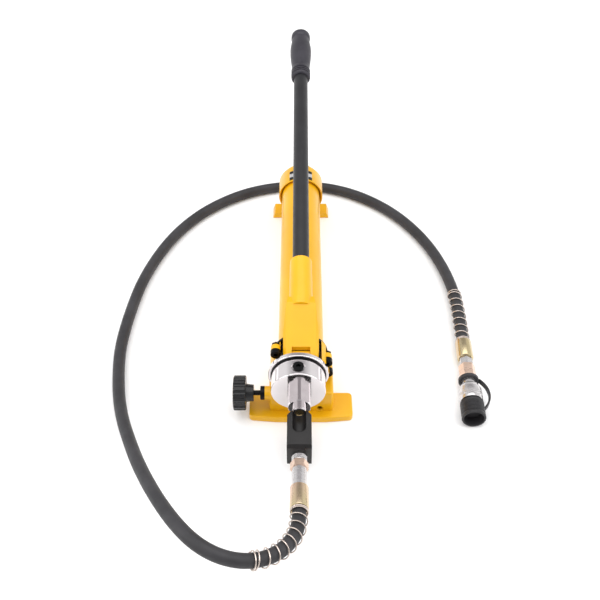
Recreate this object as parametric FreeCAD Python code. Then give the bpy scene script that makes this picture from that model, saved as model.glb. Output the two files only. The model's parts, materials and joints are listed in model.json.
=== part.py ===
"""Two-speed hydraulic hand pump: lying tank, plated head, lever, outlet block, hose and coupler.

Frame: X to the right, Y from the head to the tank's rear cap, Z up, floor at Z = 0.
Origin: on the underside of the base, in the tank's centre plane, mid-way along the front plate.
Units: millimetres.  The handle is modelled at its resting lift above the tank.
"""
import os
import FreeCAD, Part
import math

V = FreeCAD.Vector
X_AXIS = V(1, 0, 0)
Y_AXIS = V(0, 1, 0)
Z_AXIS = V(0, 0, 1)

# ---- base casting -------------------------------------------------------------------------
AXIS_Z = 80.0            # height of the tank's axis
BASE_HALF_W = 82.5
BASE_HALF_D = 26.0
BASE_T = 11.0
BASE_SWEEP = 4.0         # how far the wing tips lie behind the front edge
BLOCK_X = (-50.0, 51.0)
BLOCK_Y = (-11.0, 48.0)
SHOULDER_Z = 53.0
BODY_X = -2.0            # centre of the round upper body
BODY_R = 46.0
BODY_Y = (9.0, 48.0)
DECK_Z = 86.0            # flat under the lever
DECK_HALF_W = 32.0
GAP = 0.3                # between bodies that move past each other
SHAFT_GAP = 0.05         # radial, in a running fit

# ---- pump head ----------------------------------------------------------------------------
HEAD_X = -4.0
HEAD_FACE_Y = -30.0
HEAD_R = 42.0
GROOVE_Y = (0.2, 2.2)
GROOVE_R = 40.5
RIM_R = 47.0
SPIGOT_R = 30.0
SPIGOT_DEPTH = 10.0
PORT_X = -2.5
PORT_Z = 69.0
PORT_R = 7.5
TOP_PLUG_Y = -15.0

# ---- lever --------------------------------------------------------------------------------
PIVOT = (21.0, 107.0)    # Y, Z
ARM = 17.5               # pivot pin to plunger pin
ARM_DEG = -13.0          # direction of that arm at rest
HANDLE_DEG = 9.0         # rise of the handle at rest
PIVOT_PIN_R = 4.5
PLUNGER_PIN_R = 3.5
NOSE_R = 11.2
LUG_HALF_W = 13.7
LUG_R = 7.5
FORK_HALF_GAP = 14.2
FORK_HALF_W = 27.5
WEB_T = 7.0
TOP_BEVEL = 4.5
KNEE = (82.0, 162.0)     # where the flat top meets the socket
SOCKET_MOUTH = (175.5, 162.0)
SOCKET_R = (18.6, 17.8)
SOCKET_LEN = 95.0
HANDLE_R = 13.5
HANDLE_WALL = 2.0
HANDLE_LEN = 598.0       # beyond the socket's mouth
SOCKET_DEPTH = 45.0
GRIP_LEN = 136.0

# ---- plunger ------------------------------------------------------------------------------
PLUNGER_Y = 37.8
LOW_R = 7.0
HIGH_R = 4.5
PLUNGER_TIP_Z = 36.0
STEP_Z = 62.0
GLAND_AF = 19.0
SUCTION_Z = 62.0

# ---- tank ---------------------------------------------------------------------------------
TANK_R = 36.0
TANK_WALL = 2.5
TANK_Y = (46.0, 470.0)
RING_Y = (48.0, 52.0)
RING_R = 43.5
CAP_Y = (456.0, 500.0)
CAP_R = 42.0
CAP_END_Y = 516.0
CAP_BOSS_R = 34.0
FOOT_Y = (491.0, 522.0)
FOOT_HALF_W = 56.0
FOOT_T = 12.0
FOOT_DRAFT = 4.0
SCREW_SPOTS = ((-39.0, 112.8), (41.0, 93.0), (42.5, 69.0))
SCREW_FACE_Y = 16.0
SCREW_HEAD_R = 8.0
SCREW_HEAD_T = 8.0
SCREW_R = 4.0
EAR_T = 9.0
NUT_T = 5.0

# ---- valves -------------------------------------------------------------------------------
RELEASE_Y = -1.0
RELEASE_Z = 43.0
KNOB_R = 27.5
KNOB_T = 19.5
KNOB_X = -106.0
KNOB_FLUTES = 14
FLUTE_R = 4.2
RELIEF = (30.0, 16.0)    # X, Z of the pressure-limiting valve
BALL_R = 3.5
VALVE_X = 0.0

# ---- outlet block and fittings ------------------------------------------------------------
ADAPTER_AF = 34.0
ADAPTER_TURNED_R = 18.4
ADAPTER_Y = (-51.0, -30.0)
NOSE_Y = (-61.0, -51.0)
NOSE_PIN_R = 10.25
OUT_BLOCK_Y = (-123.0, -57.0)
OUT_BLOCK_Z = (27.0, 70.0)
OUT_BLOCK_HALF_W = 18.4
FITTING_START = V(PORT_X, -108.0, 41.0)
FITTING_LIFT = 8.0       # degrees, rising away from the block
STEM_R = 10.9
FERRULE_R = 13.6
FERRULE_LEN = 40.0

# ---- hose ---------------------------------------------------------------------------------
HOSE_R = 10.0
FRONT_GUARD_R = (11.4, 13.5)
FAR_GUARD_R = (10.5, 12.6)
FAR_START = V(278.0, 131.0, 15.9)
FAR_TURN = -2.2          # degrees about Z
FAR_LIFT = 1.55          # degrees
# Route from the outlet block's ferrule, round the left side, behind the tank, to the coupler.
ROUTE = (
    (-2.5, -218.95, 56.6), (-2.5, -246.0, 60.4), (-14.0, -275.0, 67.0), (-36.0, -299.0, 76.0),
    (-67.0, -313.0, 87.0), (-101.0, -312.0, 96.0), (-133.0, -297.0, 101.0), (-161.0, -269.0, 98.0),
    (-188.0, -231.0, 88.0), (-213.0, -188.0, 73.0), (-237.0, -141.0, 57.0), (-258.0, -92.0, 41.0),
    (-278.0, -42.0, 28.0), (-293.0, 10.0, 18.0), (-303.0, 63.0, 11.8), (-309.0, 116.0, 10.2),
    (-308.0, 170.0, 10.1), (-303.0, 227.0, 10.1), (-295.0, 286.0, 10.1), (-280.0, 344.0, 10.1),
    (-259.0, 401.0, 10.1), (-231.0, 453.0, 10.1), (-196.0, 498.0, 10.1), (-154.0, 535.0, 10.1),
    (-108.0, 563.0, 10.1), (-56.0, 580.0, 10.1), (0.0, 586.0, 10.1), (56.0, 579.0, 10.1),
    (107.0, 559.0, 10.1), (152.0, 528.0, 10.1), (192.0, 488.0, 10.1), (225.0, 440.0, 10.1),
    (251.0, 386.0, 10.2), (269.0, 326.0, 11.4), (279.5, 262.0, 13.1), (280.5, 196.0, 14.15),
    (278.0, 131.0, 15.9),
)
FRONT_GUARD_RUNS = 5     # runs of the route that the front spring guard covers


def box(x, y, z):
    """Block between pairs of limits."""
    return Part.makeBox(x[1] - x[0], y[1] - y[0], z[1] - z[0], V(x[0], y[0], z[0]))


def rod(radius, length, base, axis):
    return Part.makeCylinder(radius, length, base, axis)


def ring(outer, inner, length, base, axis):
    return rod(outer, length, base, axis).cut(rod(inner, length, base, axis))


def prism(points, direction):
    """Closed outline pushed along a vector."""
    wire = Part.makePolygon(list(points) + [points[0]])
    return Part.Face(wire).extrude(direction)


def side_prism(outline, half_width, centre_x=0.0):
    """Outline of (Y, Z) points pushed equally both ways along X."""
    points = [V(centre_x - half_width, y, z) for y, z in outline]
    return prism(points, V(2 * half_width, 0, 0))


def hexagon(across_flats, length, base, axis, corner_up=True):
    """Hexagonal bar with lightly turned ends along +-Y or Z."""
    radius = across_flats / math.sqrt(3)
    first = 90.0 if corner_up else 60.0
    points = []
    for i in range(6):
        a = math.radians(first + 60 * i)
        points.append(V(radius * math.cos(a), radius * math.sin(a), 0))
    bar = prism(points, V(0, 0, length))
    turned = rod(radius * 0.975, length, V(0, 0, 0), Z_AXIS)
    bar = bar.common(turned)
    if axis == Y_AXIS:
        bar.rotate(V(0, 0, 0), X_AXIS, -90)
        bar.rotate(V(0, 0, 0), Y_AXIS, 180)
    bar.translate(base)
    return bar


def fuse(shapes):
    result = shapes[0]
    for shape in shapes[1:]:
        result = result.fuse(shape)
    return result.removeSplitter()


def rounded(shape, radius, wanted):
    """Fillet the edges that the test picks."""
    edges = [edge for edge in shape.Edges if wanted(edge)]
    return shape.makeFillet(radius, edges)


def coil(radius, wire_r, pitch, height, base, axis):
    """Round-wire helical spring."""
    helix = Part.makeHelix(pitch, height, radius)
    section = Part.Wire(Part.makeCircle(wire_r, V(radius, 0, 0), Y_AXIS))
    body = Part.Wire(helix.Edges).makePipeShell([section], True, True)
    if axis == Y_AXIS:
        body.rotate(V(0, 0, 0), X_AXIS, -90)
    elif axis == X_AXIS:
        body.rotate(V(0, 0, 0), Y_AXIS, 90)
    body.translate(base)
    return body


def placed(shape, origin, lift, turn=0.0):
    """Stand a piece built along -Y at an origin, lifted and turned."""
    body = shape.copy()
    body.rotate(V(0, 0, 0), X_AXIS, -lift)
    body.rotate(V(0, 0, 0), Z_AXIS, turn)
    body.translate(origin)
    return body


def along(start, length, radius):
    """Bar from -Y distance start to start + length."""
    return rod(radius, length, V(0, -start - length, 0), Y_AXIS)


def front_piece(shape):
    return placed(shape, FITTING_START, FITTING_LIFT)


def far_piece(shape):
    return placed(shape, FAR_START, FAR_LIFT, FAR_TURN)


# ---- base and head ------------------------------------------------------------------------
def base_plate():
    tip = -BASE_HALF_D + BASE_SWEEP
    outline = (
        V(-BASE_HALF_W, tip, 0), V(-40, -BASE_HALF_D, 0), V(40, -BASE_HALF_D, 0),
        V(BASE_HALF_W, tip, 0), V(BASE_HALF_W, BASE_HALF_D, 0), V(-BASE_HALF_W, BASE_HALF_D, 0))
    plate = prism(outline, V(0, 0, BASE_T))

    def upright_tip(edge):
        ends = edge.Vertexes
        vertical = abs(ends[0].Z - ends[-1].Z) > BASE_T / 2
        return vertical and abs(ends[0].X) > BASE_HALF_W - 1
    plate = rounded(plate, 7.0, upright_tip)
    return rounded(plate, 2.0, lambda e: min(v.Z for v in e.Vertexes) > BASE_T - 0.1)


def lower_block():
    block = box(BLOCK_X, BLOCK_Y, (0, SHOULDER_Z))

    def soft(edge):
        ends = edge.Vertexes
        upright = abs(ends[0].Z - ends[-1].Z) > SHOULDER_Z / 2
        return upright or min(v.Z for v in ends) > SHOULDER_Z - 0.1
    return rounded(block, 4.0, soft)


def screw_ears():
    ears = []
    for x, z in SCREW_SPOTS:
        y0 = SCREW_FACE_Y + SCREW_HEAD_T
        ears.append(rod(SCREW_HEAD_R - 0.5, EAR_T, V(x, y0, z), Y_AXIS))
        span = V(BODY_X - x, 0, AXIS_Z - z)
        web = box((0, span.Length * 0.6), (y0, y0 + EAR_T), (-SCREW_HEAD_R + 1, SCREW_HEAD_R - 1))
        web.rotate(V(0, 0, 0), Y_AXIS, -math.degrees(math.atan2(span.z, span.x)))
        web.translate(V(x, 0, z))
        ears.append(web)
    return ears


def lever_lug():
    y, z = PIVOT
    foot = box((-LUG_HALF_W, LUG_HALF_W), (y - LUG_R, y + LUG_R), (DECK_Z - 2, z))
    return foot.fuse(rod(LUG_R, 2 * LUG_HALF_W, V(-LUG_HALF_W, y, z), X_AXIS))


def casting_cuts():
    depth = BODY_Y[1] - BODY_Y[0]
    y, z = PIVOT
    return [
        # seat of the plated head
        rod(SPIGOT_R + 0.1, SPIGOT_DEPTH, V(HEAD_X, BODY_Y[0] - 0.01, AXIS_Z), Y_AXIS),
        rod(HEAD_R + 0.8, 60, V(HEAD_X, BODY_Y[0] - 60, AXIS_Z), Y_AXIS),
        rod(RIM_R + 0.5, BODY_Y[0] + 1, V(HEAD_X, -1.0, AXIS_Z), Y_AXIS),
        # plunger bores, gland and inlet valve
        rod(9.0, 20, V(VALVE_X, PLUNGER_Y, DECK_Z - 10), Z_AXIS),
        rod(LOW_R + SHAFT_GAP, 40, V(VALVE_X, PLUNGER_Y, 48), Z_AXIS),
        rod(HIGH_R + SHAFT_GAP, 40, V(VALVE_X, PLUNGER_Y, 24), Z_AXIS),
        rod(6.0, 26, V(VALVE_X, PLUNGER_Y, 0), Z_AXIS),
        # oil ways
        rod(2.0, 24, V(VALVE_X, 13.0, 30), Y_AXIS),
        rod(2.0, 40, V(VALVE_X, 15.0, 30), Z_AXIS),
        rod(5.1, 3, V(VALVE_X, BODY_Y[1] - 3, SUCTION_Z), Y_AXIS),
        rod(2.0, 12, V(VALVE_X, BODY_Y[1] - 12, SUCTION_Z), Y_AXIS),
        # release valve
        rod(5.0 + SHAFT_GAP, 20, V(-57, RELEASE_Y, RELEASE_Z), X_AXIS),
        rod(BALL_R + 0.3, 6.6, V(-38, RELEASE_Y, RELEASE_Z), X_AXIS),
        rod(1.8, 34, V(-35, RELEASE_Y, RELEASE_Z), Y_AXIS),
        # pressure-limiting valve
        rod(4.6, 34, V(RELIEF[0], BLOCK_Y[0], RELIEF[1]), Y_AXIS),
        Part.makeCone(5.6, 4.6, 1.0, V(RELIEF[0], BLOCK_Y[0], RELIEF[1]), Y_AXIS),
        rod(1.8, 10, V(RELIEF[0], BLOCK_Y[0] + 33, RELIEF[1]), Y_AXIS),
        # nut clearance in the lug, pivot bore and tank seat
        rod(GLAND_AF * 0.6, 6, V(VALVE_X, PLUNGER_Y, DECK_Z), Z_AXIS),
        rod(PIVOT_PIN_R + SHAFT_GAP, 40, V(-20, y, z), X_AXIS),
        rod(TANK_R + 2.3, 2.0, V(0, BODY_Y[1] - 2.0, AXIS_Z), Y_AXIS),
    ] + [rod(SCREW_R + 0.1, depth, V(sx, 20, sz), Y_AXIS) for sx, sz in SCREW_SPOTS] + [
        rod(SCREW_HEAD_R + 0.6, 30, V(sx, SCREW_FACE_Y + SCREW_HEAD_T - 30, sz), Y_AXIS)
        for sx, sz in SCREW_SPOTS] + [
        rod(SCREW_HEAD_R, 20, V(sx, SCREW_FACE_Y + SCREW_HEAD_T + EAR_T, sz), Y_AXIS)
        for sx, sz in SCREW_SPOTS]


def base_casting():
    body = rod(BODY_R, BODY_Y[1] - BODY_Y[0], V(BODY_X, BODY_Y[0], AXIS_Z), Y_AXIS)
    boss = rod(11.0, 14, V(-57, RELEASE_Y, RELEASE_Z), X_AXIS)
    casting = fuse([base_plate(), lower_block(), body, boss] + screw_ears())
    deck = box((-DECK_HALF_W, DECK_HALF_W), (BODY_Y[0] - 1, BODY_Y[1] + 1), (DECK_Z, 140))
    casting = casting.cut(deck).fuse(lever_lug())
    for tool in casting_cuts():
        casting = casting.cut(tool)
    return casting.removeSplitter()


def pump_head():
    def turned(radius, y0, y1):
        return rod(radius, y1 - y0, V(HEAD_X, y0, AXIS_Z), Y_AXIS)
    barrel = turned(HEAD_R, HEAD_FACE_Y, GROOVE_Y[0])
    front = [e for e in barrel.Edges if e.CenterOfMass.y < HEAD_FACE_Y + 0.1 and e.Closed]
    barrel = barrel.makeFillet(1.5, front)
    rim = turned(RIM_R, GROOVE_Y[1], BODY_Y[0])
    rim = rim.makeFillet(1.2, [e for e in rim.Edges if e.Closed and e.CenterOfMass.y < BODY_Y[0] - 1])
    head = fuse([barrel, turned(GROOVE_R, GROOVE_Y[0], GROOVE_Y[1]), rim,
                 turned(SPIGOT_R, BODY_Y[0], BODY_Y[0] + SPIGOT_DEPTH - 0.5)])
    top = AXIS_Z + HEAD_R
    cuts = [
        rod(PORT_R, 16, V(PORT_X, HEAD_FACE_Y, PORT_Z), Y_AXIS),
        rod(2.5, 60, V(PORT_X, HEAD_FACE_Y, PORT_Z), Y_AXIS),
        rod(BALL_R + 1.2, 17, V(PORT_X, 3, PORT_Z), Y_AXIS),
        rod(7.3, 16, V(HEAD_X, TOP_PLUG_Y, top - 14), Z_AXIS),
        rod(10.5, 10, V(HEAD_X, TOP_PLUG_Y, top - 2.4), Z_AXIS),
        box((HEAD_X - 40, HEAD_X + 40), (BODY_Y[0], BODY_Y[0] + SPIGOT_DEPTH), (DECK_Z - 0.5, top)),
    ]
    for tool in cuts:
        head = head.cut(tool)
    return head


def socket_plug(head_r, head_t, stem_r, stem_len, key_af, base, axis):
    """Screw plug: base is the underside of the head."""
    body = rod(head_r, head_t, base, axis)
    body = body.makeFillet(0.6, [e for e in body.Edges if e.Closed and
                                 (e.CenterOfMass - base).dot(axis) > head_t - 0.1])
    body = body.fuse(rod(stem_r, stem_len, base - axis * stem_len, axis))
    key = hexagon(key_af, head_t, V(0, 0, 0), Z_AXIS)
    if axis != Z_AXIS:
        key.rotate(V(0, 0, 0), X_AXIS, 90)
    key.translate(base + axis * (head_t * 0.35))
    return body.cut(key)


def head_plug():
    base = V(HEAD_X, TOP_PLUG_Y, AXIS_Z + HEAD_R - 2.4)
    return socket_plug(8.5, 4.2, 7.2, 10, 7.0, base, Z_AXIS)


def head_seal_ring():
    return ring(43.4, GROOVE_R, GROOVE_Y[1] - GROOVE_Y[0], V(HEAD_X, GROOVE_Y[0], AXIS_Z), Y_AXIS)


def tie_screws():
    screws = []
    for x, z in SCREW_SPOTS:
        base = V(x, SCREW_FACE_Y + SCREW_HEAD_T, z)
        screws.append(socket_plug(SCREW_HEAD_R, SCREW_HEAD_T, SCREW_R, EAR_T + NUT_T + 1, 6.0,
                                  base, V(0, -1, 0)))
    return Part.makeCompound(screws)


# ---- tank ---------------------------------------------------------------------------------
def tank_tube():
    centre = V(0, TANK_Y[0] + 1.2, AXIS_Z)
    tube = rod(TANK_R, TANK_Y[1] - centre.y, centre, Y_AXIS)
    bead = rod(TANK_R + 2.0, 0.8, centre, Y_AXIS)
    bore = rod(TANK_R - TANK_WALL, 500, V(0, 0, AXIS_Z), Y_AXIS)
    return tube.fuse(bead).cut(bore)


def tank_gasket():
    return ring(TANK_R + 2.0, TANK_R - 5, 1.2, V(0, TANK_Y[0], AXIS_Z), Y_AXIS)


def clamp_ring():
    length = RING_Y[1] - RING_Y[0]
    disc = rod(RING_R, length, V(BODY_X / 2, RING_Y[0], AXIS_Z), Y_AXIS)
    return disc.cut(rod(TANK_R + 0.05, length, V(0, RING_Y[0], AXIS_Z), Y_AXIS))


def screw_nuts():
    nuts = []
    for x, z in SCREW_SPOTS:
        base = V(x, SCREW_FACE_Y + SCREW_HEAD_T + EAR_T, z)
        nut = hexagon(12.0, NUT_T, base, Y_AXIS)
        nuts.append(nut.cut(rod(SCREW_R, 40, base - Y_AXIS * 20, Y_AXIS)))
    return Part.makeCompound(nuts)


def rear_cap():
    shell = rod(CAP_R, CAP_Y[1] - CAP_Y[0], V(0, CAP_Y[0], AXIS_Z), Y_AXIS)
    dome = Part.makeCone(CAP_R, CAP_BOSS_R, CAP_END_Y - CAP_Y[1], V(0, CAP_Y[1], AXIS_Z), Y_AXIS)
    wide, narrow = FOOT_HALF_W, FOOT_HALF_W - FOOT_DRAFT
    foot = prism((V(-wide, FOOT_Y[0], 0), V(wide, FOOT_Y[0], 0), V(narrow, FOOT_Y[0], FOOT_T),
                  V(-narrow, FOOT_Y[0], FOOT_T)), V(0, FOOT_Y[1] - FOOT_Y[0], 0))
    stalk = box((-30, 30), (FOOT_Y[0] + 4, CAP_END_Y - 2), (0, AXIS_Z - 20))
    cap = fuse([shell, dome, foot, stalk])
    mouth = Part.makeCone(CAP_R - 2, TANK_R + 0.05, 8, V(0, CAP_Y[0] - 0.01, AXIS_Z), Y_AXIS)
    seat = rod(TANK_R + 0.05, TANK_Y[1] - CAP_Y[0], V(0, CAP_Y[0], AXIS_Z), Y_AXIS)
    filler = rod(8.0, 60, V(0, 470, AXIS_Z), Y_AXIS)
    inner = rod(TANK_R - 8, 20, V(0, 450, AXIS_Z), Y_AXIS)
    cap = cap.cut(seat).cut(mouth)
    plug = rod(TANK_R - TANK_WALL - 0.1, 14, V(0, TANK_Y[1] - 12, AXIS_Z), Y_AXIS)
    groove = ring(TANK_R, TANK_R - TANK_WALL - 2.1, 3.0, V(0, TANK_Y[1] - 8, AXIS_Z), Y_AXIS)
    return cap.fuse(plug.cut(groove)).cut(inner).cut(filler).removeSplitter()


def cap_o_ring():
    return ring(TANK_R - TANK_WALL - 0.05, TANK_R - TANK_WALL - 2.05, 2.6,
                V(0, TANK_Y[1] - 7.8, AXIS_Z), Y_AXIS)


def filler_plug():
    base = V(0, CAP_END_Y, AXIS_Z)
    head = hexagon(22.0, 7.0, V(0, 0, 0), Z_AXIS)
    head.rotate(V(0, 0, 0), X_AXIS, -90)
    head.translate(base)
    return head.fuse(rod(7.9, 18, base - Y_AXIS * 18, Y_AXIS))


def rating_plate():
    """Blank curved plate with a raised border, on top of the rear cap."""
    y0, y1 = 459.0, 485.0
    band = ring(CAP_R + 0.6, CAP_R, y1 - y0, V(0, y0, AXIS_Z), Y_AXIS)
    border = ring(CAP_R + 1.0, CAP_R, y1 - y0, V(0, y0, AXIS_Z), Y_AXIS)
    half = 21.5
    window = box((-half + 3, half - 3), (y0 + 3, y1 - 3), (AXIS_Z, AXIS_Z + 60))
    reach = box((-half, half), (y0, y1), (AXIS_Z, AXIS_Z + 60))
    return band.fuse(border.cut(window)).common(reach).removeSplitter()


def oil_bladder():
    outer = rod(30.5, 380, V(0, 62, AXIS_Z), Y_AXIS)
    return outer.cut(rod(29.0, 378.5, V(0, 62, AXIS_Z), Y_AXIS))


def suction_tube():
    return ring(5.0, 3.6, 77, V(VALVE_X, BODY_Y[1] - 3, SUCTION_Z), Y_AXIS)


def suction_filter():
    return ring(9.0, 5.0, 26, V(VALVE_X, BODY_Y[1] + 48, SUCTION_Z), Y_AXIS)


# ---- lever --------------------------------------------------------------------------------
def arm_end(extra_deg=0.0):
    a = math.radians(ARM_DEG + extra_deg)
    return PIVOT[0] + ARM * math.cos(a), PIVOT[1] + ARM * math.sin(a)


def handle_dir():
    a = math.radians(HANDLE_DEG)
    return V(0, math.cos(a), math.sin(a))


def mouth():
    return V(0, SOCKET_MOUTH[0], SOCKET_MOUTH[1])


def flat_slope():
    """Angle of the flat top: the tangent from the nose circle to the knee."""
    dy, dz = KNEE[0] - PIVOT[0], KNEE[1] - PIVOT[1]
    return math.atan2(dz, dy) - math.asin(NOSE_R / math.hypot(dy, dz))


def lever_yoke():
    py, pz = PIVOT
    qy, qz = arm_end()
    a = flat_slope()
    ty, tz = py - NOSE_R * math.sin(a), pz + NOSE_R * math.cos(a)
    under_z = 129.0
    outline = [(ty, tz), KNEE, (97.0, 160.0), (97.0, 134.0), (88.0, 131.2), (42.0, under_z),
               (qy + 7.5, qz), (qy, qz - 7.5), (py, pz - NOSE_R + 1), (py - 8, pz)]
    body = side_prism(outline, FORK_HALF_W)
    body = body.fuse(rod(NOSE_R, 2 * FORK_HALF_W, V(-FORK_HALF_W, py, pz), X_AXIS))
    body = body.fuse(rod(7.5, 2 * FORK_HALF_W, V(-FORK_HALF_W, qy, qz), X_AXIS)).removeSplitter()
    # the flanks draw in towards the socket
    for side in (-1, 1):
        wedge = (V(side * 27.6, 46, 80), V(side * 40, 46, 80), V(side * 40, 110, 80), V(side * 18.5, 110, 80))
        body = body.cut(prism(wedge, V(0, 0, 120)))
    body = soften_top(body, a, ty, tz)
    run_y, run_z = math.cos(a), math.sin(a)
    low_y, low_z = ty + WEB_T * run_z, tz - WEB_T * run_y
    inner = [(low_y - 15 * run_y, low_z - 15 * run_z), (low_y + 60 * run_y, low_z + 60 * run_z),
             (low_y + 60 * run_y, 60), (low_y - 15 * run_y, 60)]
    body = body.cut(side_prism(inner, FORK_HALF_GAP))
    body = body.cut(rod(LUG_R + 1.5, 2 * FORK_HALF_GAP, V(-FORK_HALF_GAP, py, pz), X_AXIS))
    notch = box((-FORK_HALF_GAP, FORK_HALF_GAP), (0, 24.5), (70, 160))
    body = body.cut(notch)
    socket = Part.makeCone(SOCKET_R[0], SOCKET_R[1], SOCKET_LEN, mouth() - handle_dir() * SOCKET_LEN,
                           handle_dir())
    socket = socket.makeFillet(1.0, [e for e in socket.Edges if e.Closed and
                                     (e.CenterOfMass - mouth()).Length < 1])
    body = body.fuse(socket)
    bore = rod(HANDLE_R, SOCKET_DEPTH + 1, mouth() - handle_dir() * SOCKET_DEPTH, handle_dir())
    screw = rod(3.0, 20, mouth() - handle_dir() * 20, lever_down())
    body = body.cut(bore).cut(screw)
    body = body.cut(rod(PIVOT_PIN_R, 80, V(-40, py, pz), X_AXIS))
    return body.cut(rod(PLUNGER_PIN_R, 80, V(-40, qy, qz), X_AXIS)).removeSplitter()


def lever_down():
    a = math.radians(HANDLE_DEG)
    return V(0, math.sin(a), -math.cos(a))


def soften_top(body, slope, ty, tz):
    """Bevel the two long edges of the flat top and the nose's rim."""
    run = V(0, math.cos(slope), math.sin(slope))
    up = V(0, -math.sin(slope), math.cos(slope))
    start = V(0, ty, tz)
    for side in (-1, 1):
        outer = V(side * (FORK_HALF_W + 1), 0, 0)
        inner = V(side * (FORK_HALF_W - TOP_BEVEL), 0, 0)
        corner = (start + inner + up * 0.01, start + outer + up * 0.01,
                  start + outer - up * (TOP_BEVEL + 1))
        body = body.cut(prism(corner, run * 90))
        pivot = V(side * (FORK_HALF_W - TOP_BEVEL), PIVOT[0], PIVOT[1])
        outward = V(side, 0, 0)
        rim = rod(30, TOP_BEVEL + 1, pivot, outward)
        rim = rim.cut(Part.makeCone(NOSE_R, NOSE_R - TOP_BEVEL - 1, TOP_BEVEL + 1, pivot, outward))
        front = prism((start, start - run * 60, start - run * 60 - up * (NOSE_R + 14),
                       start - up * (NOSE_R + 14)), V(side * 60, 0, 0))
        body = body.cut(rim.common(front))
    return body


def handle_tube():
    start = mouth() - handle_dir() * SOCKET_DEPTH
    length = HANDLE_LEN + SOCKET_DEPTH - 3
    return ring(HANDLE_R, HANDLE_R - HANDLE_WALL, length, start, handle_dir())


def handle_grip():
    """Turned grip: ribbed collar, waist, bulged body and end flange."""
    radii = ((0, 17.0), (3, 18.5), (24, 18.8), (31, 17.4), (60, 20.0), (86, 21.0), (110, 18.8),
             (120, 17.6), (124, 19.0), (133, 19.0), (GRIP_LEN, 16.5))
    outline = [V(0, t, r) for t, r in radii]
    outline = [V(0, 10, HANDLE_R), V(0, 0, 16.0)] + outline + [V(0, GRIP_LEN, 0), V(0, GRIP_LEN - 3, 0),
                                               V(0, GRIP_LEN - 3, HANDLE_R)]
    face = Part.Face(Part.makePolygon(outline + [outline[0]]))
    grip = face.revolve(V(0, 0, 0), Y_AXIS, 360)
    for t in (8.0, 13.0, 18.0):
        grip = grip.cut(ring(24.0, 17.5, 1.8, V(0, t, 0), Y_AXIS))
    grip.rotate(V(0, 0, 0), X_AXIS, HANDLE_DEG)
    grip.translate(mouth() + handle_dir() * (HANDLE_LEN - GRIP_LEN))
    return grip


def handle_screw():
    base = mouth() - handle_dir() * 20 + lever_down() * (HANDLE_R + 0.1)
    return rod(3.0, 4.5, base, lever_down())


def pivot_pin():
    return rod(PIVOT_PIN_R, 60, V(-30, PIVOT[0], PIVOT[1]), X_AXIS)


def plunger_pin():
    y, z = arm_end()
    return rod(PLUNGER_PIN_R, 60, V(-30, y, z), X_AXIS)


def pin_clips():
    clips = []
    qy, qz = arm_end()
    for y, z, inner, outer in ((PIVOT[0], PIVOT[1], PIVOT_PIN_R, 7.8), (qy, qz, PLUNGER_PIN_R, 6.4)):
        for x in (-29.2, 27.8):
            clips.append(ring(outer, inner, 1.4, V(x, y, z), X_AXIS))
    return Part.makeCompound(clips)


# ---- plunger and valves -------------------------------------------------------------------
def plunger():
    _, qz = arm_end()
    head = box((-9, 9), (PLUNGER_Y - 7, PLUNGER_Y + 7), (qz - 8, qz + 8))
    head = rounded(head, 2.0, lambda e: abs(e.Vertexes[0].X - e.Vertexes[-1].X) > 10)
    half_high = PLUNGER_PIN_R + 0.35
    slack = 1.0
    slot = box((-10, 10), (PLUNGER_Y - slack, PLUNGER_Y + slack), (qz - half_high, qz + half_high))
    for y in (PLUNGER_Y - slack, PLUNGER_Y + slack):
        slot = slot.fuse(rod(half_high, 20, V(-10, y, qz), X_AXIS))
    low = rod(LOW_R, qz - 7 - STEP_Z, V(VALVE_X, PLUNGER_Y, STEP_Z), Z_AXIS)
    high = rod(HIGH_R, STEP_Z - PLUNGER_TIP_Z, V(VALVE_X, PLUNGER_Y, PLUNGER_TIP_Z), Z_AXIS)
    return fuse([head, low, high]).cut(slot)


def gland_nut():
    base = V(VALVE_X, PLUNGER_Y, DECK_Z)
    nut = hexagon(GLAND_AF, 4.0, base, Z_AXIS).fuse(rod(9.0, 6.0, base - Z_AXIS * 6, Z_AXIS))
    return nut.cut(rod(LOW_R + SHAFT_GAP, 20, base - Z_AXIS * 10, Z_AXIS))


def plunger_seal():
    return ring(9.0, LOW_R + SHAFT_GAP, 3.6, V(VALVE_X, PLUNGER_Y, DECK_Z - 9.8), Z_AXIS)


def inlet_plug():
    base = V(VALVE_X, PLUNGER_Y, 0.6)
    plug = rod(6.0, 8.0, base, Z_AXIS)
    key = hexagon(5.0, 3.0, base, Z_AXIS)
    seat = Part.makeCone(1.6, 3.4, 2.0, base + Z_AXIS * 6.01, Z_AXIS)
    return plug.cut(key).cut(seat).cut(rod(1.5, 12, base, Z_AXIS))


def inlet_ball():
    return Part.makeSphere(BALL_R, V(VALVE_X, PLUNGER_Y, 11.6))


def inlet_spring():
    return coil(3.6, 0.45, 2.4, 7.0, V(VALVE_X, PLUNGER_Y, 16.0), Z_AXIS)


def outlet_ball():
    return Part.makeSphere(BALL_R, V(PORT_X, 13.0, PORT_Z))


def outlet_spring():
    return coil(3.0, 0.45, 1.6, 4.8, V(PORT_X, 4.0, PORT_Z), Y_AXIS)


def release_spindle():
    stem = rod(4.0, 36, V(-100, RELEASE_Y, RELEASE_Z), X_AXIS)
    thread = rod(5.0, 22, V(-64.0, RELEASE_Y, RELEASE_Z), X_AXIS)
    tip = Part.makeCone(5.0, 2.0, 3.0, V(-42.0, RELEASE_Y, RELEASE_Z), X_AXIS)
    return fuse([stem, thread, tip])


def release_collar():
    """Packing nut screwed on the end of the boss."""
    body = rod(11.0, 7.0, V(-64.0, RELEASE_Y, RELEASE_Z), X_AXIS)
    body = body.makeFillet(1.0, [e for e in body.Edges if e.Closed])
    return body.cut(rod(5.0 + SHAFT_GAP, 9, V(-65.0, RELEASE_Y, RELEASE_Z), X_AXIS))


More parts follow.
